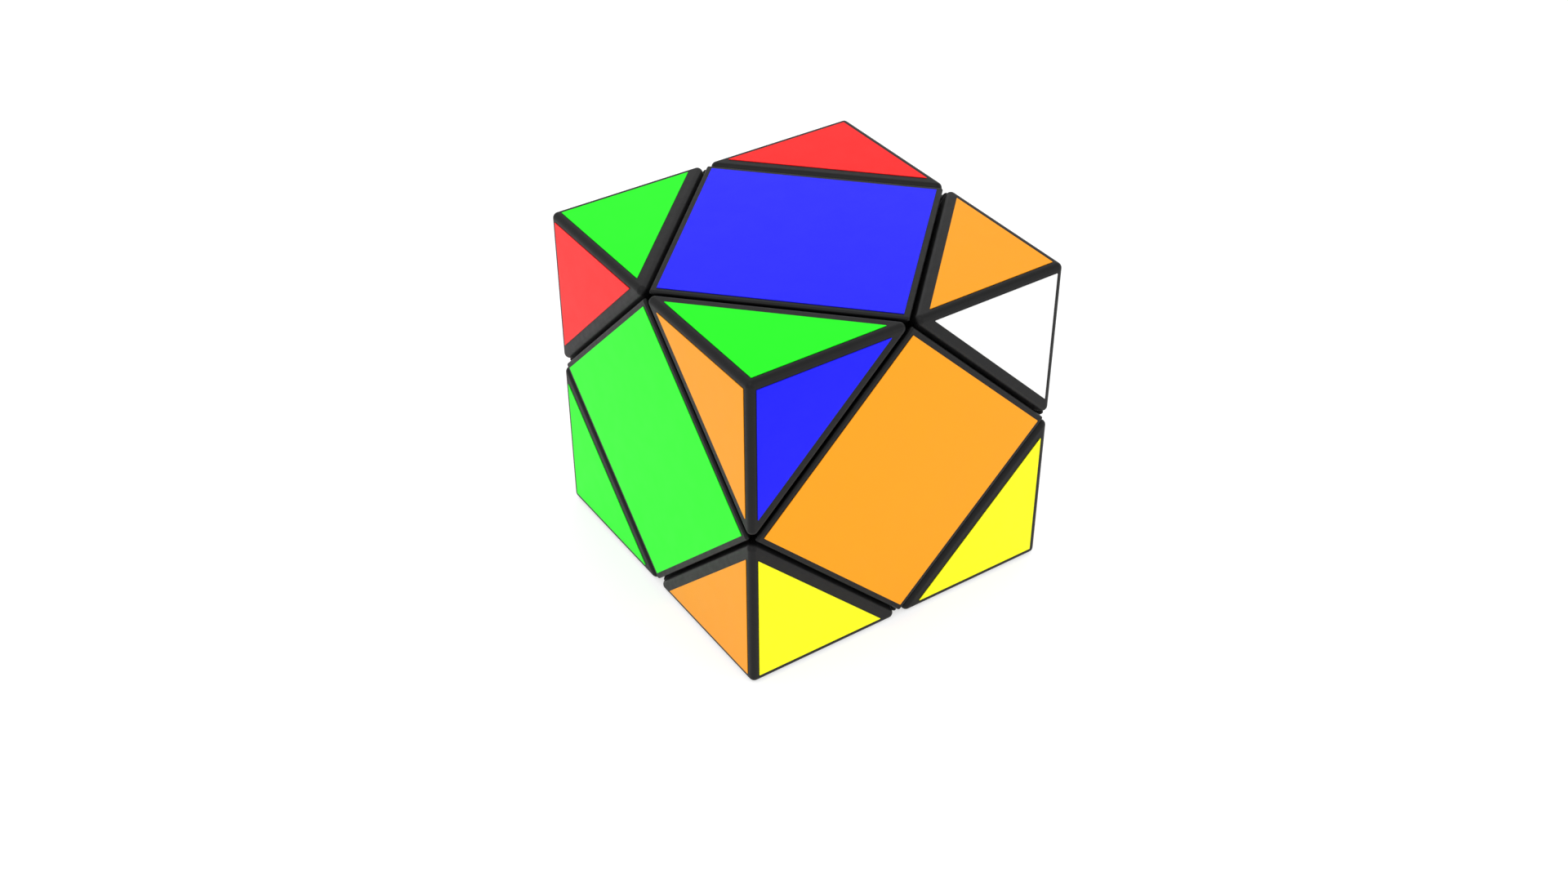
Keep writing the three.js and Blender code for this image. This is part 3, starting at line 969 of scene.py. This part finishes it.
def place(context, mesh, nodes, kind, made_as):
    """Puts a copy of a home mesh at each node, with its finish, on the node's own body."""
    home = tidied(mesh)
    for node in nodes:
        name = node.replace(kind, made_as, 1)
        if name in bpy.data.objects:
            bpy.data.objects.remove(bpy.data.objects[name])
        shape = home.copy()
        shape.name = name
        shape.transform(placement(node))
        shape.materials.clear()
        shape.materials.append(material_for(SLOTS[node], context.scene.puzzle_colours))
        piece = bpy.data.objects.new(name, shape)
        context.scene.collection.objects.link(piece)
        shading = piece.modifiers.new("even_shading", "WEIGHTED_NORMAL")
        shading.keep_sharp = True
        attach(piece, BODIES[node])
        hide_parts(node)
    for leftover in [shape for shape in bpy.data.meshes if not shape.users]:
        bpy.data.meshes.remove(leftover)


# ------------------------------------------------------------------ stage

def build_floor(context, stage):
    reach = stage.floor_size / 2
    level = CAD_LOW.z - FLOOR_GAP
    corners = ((-reach, -reach), (reach, -reach), (reach, reach), (-reach, reach))
    points = [(x, y, level) for x, y in corners]
    floor = bpy.data.objects.new("floor", mesh_from("floor", points, [(0, 1, 2, 3)]))
    context.scene.collection.objects.link(floor)
    finish = Finish("finish_floor", tuple(stage.floor), 0.7)
    finish.shader.inputs["Emission Color"].default_value = (1, 1, 1, 1)
    finish.shader.inputs["Emission Strength"].default_value = stage.floor_glow
    floor.data.materials.append(finish.material)


def build_lights(context, stage):
    world = bpy.data.worlds.new("white_surround")
    world.use_nodes = True
    surround = world.node_tree.nodes["Background"]
    surround.inputs["Color"].default_value = (1, 1, 1, 1)
    surround.inputs["Strength"].default_value = stage.surround
    context.scene.world = world
    for name, power, size, spot in (
        ("softbox", stage.softbox_power, SOFTBOX_SIZE, SOFTBOX_PLACE),
        ("fill", stage.fill_power, FILL_SIZE, FILL_PLACE),
    ):
        lamp = bpy.data.lights.new(name, "AREA")
        lamp.shape = "DISK"
        lamp.size = size
        lamp.energy = power
        light = bpy.data.objects.new(name, lamp)
        light.location = CUBE_CENTRE + spot
        light.rotation_euler = spot.to_track_quat("Z", "Y").to_euler()
        context.scene.collection.objects.link(light)


def build_camera(context):
    away = Vector((
        math.cos(CAMERA_ELEVATION) * math.cos(CAMERA_AZIMUTH),
        math.cos(CAMERA_ELEVATION) * math.sin(CAMERA_AZIMUTH),
        math.sin(CAMERA_ELEVATION),
    ))
    right = Vector((-math.sin(CAMERA_AZIMUTH), math.cos(CAMERA_AZIMUTH), 0))
    up = away.cross(right)
    edge = 2 * HALF_EDGE
    aim = right * CAMERA_AIM_RIGHT + up * CAMERA_AIM_UP
    lens = bpy.data.cameras.new("camera")
    lens.lens = CAMERA_LENS
    lens.clip_start = CAMERA_NEAR
    camera = bpy.data.objects.new("camera", lens)
    spot = CUBE_CENTRE + (aim + away * CAMERA_DISTANCE) * edge
    axes = Matrix((right, up, away)).transposed().to_4x4()
    camera.matrix_world = Matrix.Translation(spot) @ axes
    context.scene.collection.objects.link(camera)
    context.scene.camera = camera
    context.scene.view_settings.view_transform = "Standard"


# ------------------------------------------------------------------ operators

class PUZZLE_OT_build_core(bpy.types.Operator):
    """Build the four-armed core."""

    bl_idname = "puzzle.build_core"
    bl_label = "Build Core"

    def execute(self, context):
        place(context, core_ball(), ["core"], "core", "moulded_core")
        return {"FINISHED"}


class PUZZLE_OT_build_screws(bpy.types.Operator):
    """Build the four tension screws."""

    bl_idname = "puzzle.build_screws"
    bl_label = "Build Screws"

    def execute(self, context):
        nodes = nodes_of("tension_screw")
        place(context, tension_screw(), nodes, "tension_screw", "threaded_screw")
        return {"FINISHED"}


class PUZZLE_OT_build_springs(bpy.types.Operator):
    """Build the four springs under the screw heads."""

    bl_idname = "puzzle.build_springs"
    bl_label = "Build Springs"

    def execute(self, context):
        nodes = nodes_of("tension_spring")
        place(context, tension_spring(), nodes, "tension_spring", "wound_spring")
        return {"FINISHED"}


class PUZZLE_OT_build_core_corners(bpy.types.Operator):
    """Build the four core corners that the screws hold."""

    bl_idname = "puzzle.build_core_corners"
    bl_label = "Build Core Corners"

    def execute(self, context):
        base = core_corner_base(context.scene.puzzle_sizes)
        place(context, base, nodes_of("core_corner"), "core_corner", "moulded_base")
        return {"FINISHED"}


class PUZZLE_OT_build_corner_caps(bpy.types.Operator):
    """Build the four snap-on caps."""

    bl_idname = "puzzle.build_corner_caps"
    bl_label = "Build Corner Caps"

    def execute(self, context):
        cap = corner_cap(context.scene.puzzle_sizes)
        place(context, cap, nodes_of("corner_cap"), "corner_cap", "moulded_cap")
        return {"FINISHED"}


class PUZZLE_OT_build_free_corners(bpy.types.Operator):
    """Build the four corners that the centres hold."""

    bl_idname = "puzzle.build_free_corners"
    bl_label = "Build Free Corners"

    def execute(self, context):
        corner = free_corner(context.scene.puzzle_sizes)
        place(context, corner, nodes_of("free_corner"), "free_corner", "moulded_corner")
        return {"FINISHED"}


class PUZZLE_OT_build_centres(bpy.types.Operator):
    """Build the six square centres."""

    bl_idname = "puzzle.build_centres"
    bl_label = "Build Centres"

    def execute(self, context):
        piece = centre_piece(context.scene.puzzle_sizes)
        place(context, piece, nodes_of("centre"), "centre", "moulded_centre")
        return {"FINISHED"}


class PUZZLE_OT_build_stickers(bpy.types.Operator):
    """Build the six square and twenty-four triangular stickers."""

    bl_idname = "puzzle.build_stickers"
    bl_label = "Build Stickers"

    def execute(self, context):
        sizes = context.scene.puzzle_sizes
        nodes = nodes_of("sticker")
        square = [node for node in nodes if node.endswith("_centre")]
        triangular = [node for node in nodes if node not in square]
        place(context, centre_film(sizes), square, "sticker", "film")
        place(context, corner_film(sizes), triangular, "sticker", "film")
        return {"FINISHED"}


class PUZZLE_OT_build_stage(bpy.types.Operator):
    """Build the pale floor, the soft lights and the camera."""

    bl_idname = "puzzle.build_stage"
    bl_label = "Build Stage"

    def execute(self, context):
        stage = context.scene.puzzle_stage
        build_floor(context, stage)
        build_lights(context, stage)
        build_camera(context)
        return {"FINISHED"}


# ------------------------------------------------------------------ add-on

OPERATORS = (
    PUZZLE_OT_build_core, PUZZLE_OT_build_screws, PUZZLE_OT_build_springs,
    PUZZLE_OT_build_core_corners, PUZZLE_OT_build_corner_caps, PUZZLE_OT_build_free_corners,
    PUZZLE_OT_build_centres, PUZZLE_OT_build_stickers, PUZZLE_OT_build_stage,
)


class PUZZLE_PT_panel(bpy.types.Panel):
    """Sizes, colours and builders of the puzzle."""

    bl_idname = "PUZZLE_PT_panel"
    bl_label = "Corner-Turning Cube"
    bl_space_type = "VIEW_3D"
    bl_region_type = "UI"
    bl_category = "Puzzle"

    def draw(self, context):
        scene = context.scene
        for group in (scene.puzzle_sizes, scene.puzzle_colours, scene.puzzle_stage):
            box = self.layout.box()
            for name in group.bl_rna.properties.keys():
                if name not in ("rna_type", "name"):
                    box.prop(group, name)
        for operator in OPERATORS:
            self.layout.operator(operator.bl_idname)


CLASSES = (PUZZLE_PG_sizes, PUZZLE_PG_colours, PUZZLE_PG_stage, *OPERATORS, PUZZLE_PT_panel)


def register():
    for item in CLASSES:
        bpy.utils.register_class(item)
    bpy.types.Scene.puzzle_sizes = PointerProperty(type=PUZZLE_PG_sizes)
    bpy.types.Scene.puzzle_colours = PointerProperty(type=PUZZLE_PG_colours)
    bpy.types.Scene.puzzle_stage = PointerProperty(type=PUZZLE_PG_stage)


def unregister():
    del bpy.types.Scene.puzzle_stage
    del bpy.types.Scene.puzzle_colours
    del bpy.types.Scene.puzzle_sizes
    for item in reversed(CLASSES):
        bpy.utils.unregister_class(item)


def main():
    register()
    bpy.ops.puzzle.build_core()
    bpy.ops.puzzle.build_screws()
    bpy.ops.puzzle.build_springs()
    bpy.ops.puzzle.build_core_corners()
    bpy.ops.puzzle.build_corner_caps()
    bpy.ops.puzzle.build_free_corners()
    bpy.ops.puzzle.build_centres()
    bpy.ops.puzzle.build_stickers()
    bpy.ops.puzzle.build_stage()


if __name__ == "__main__":
    main()
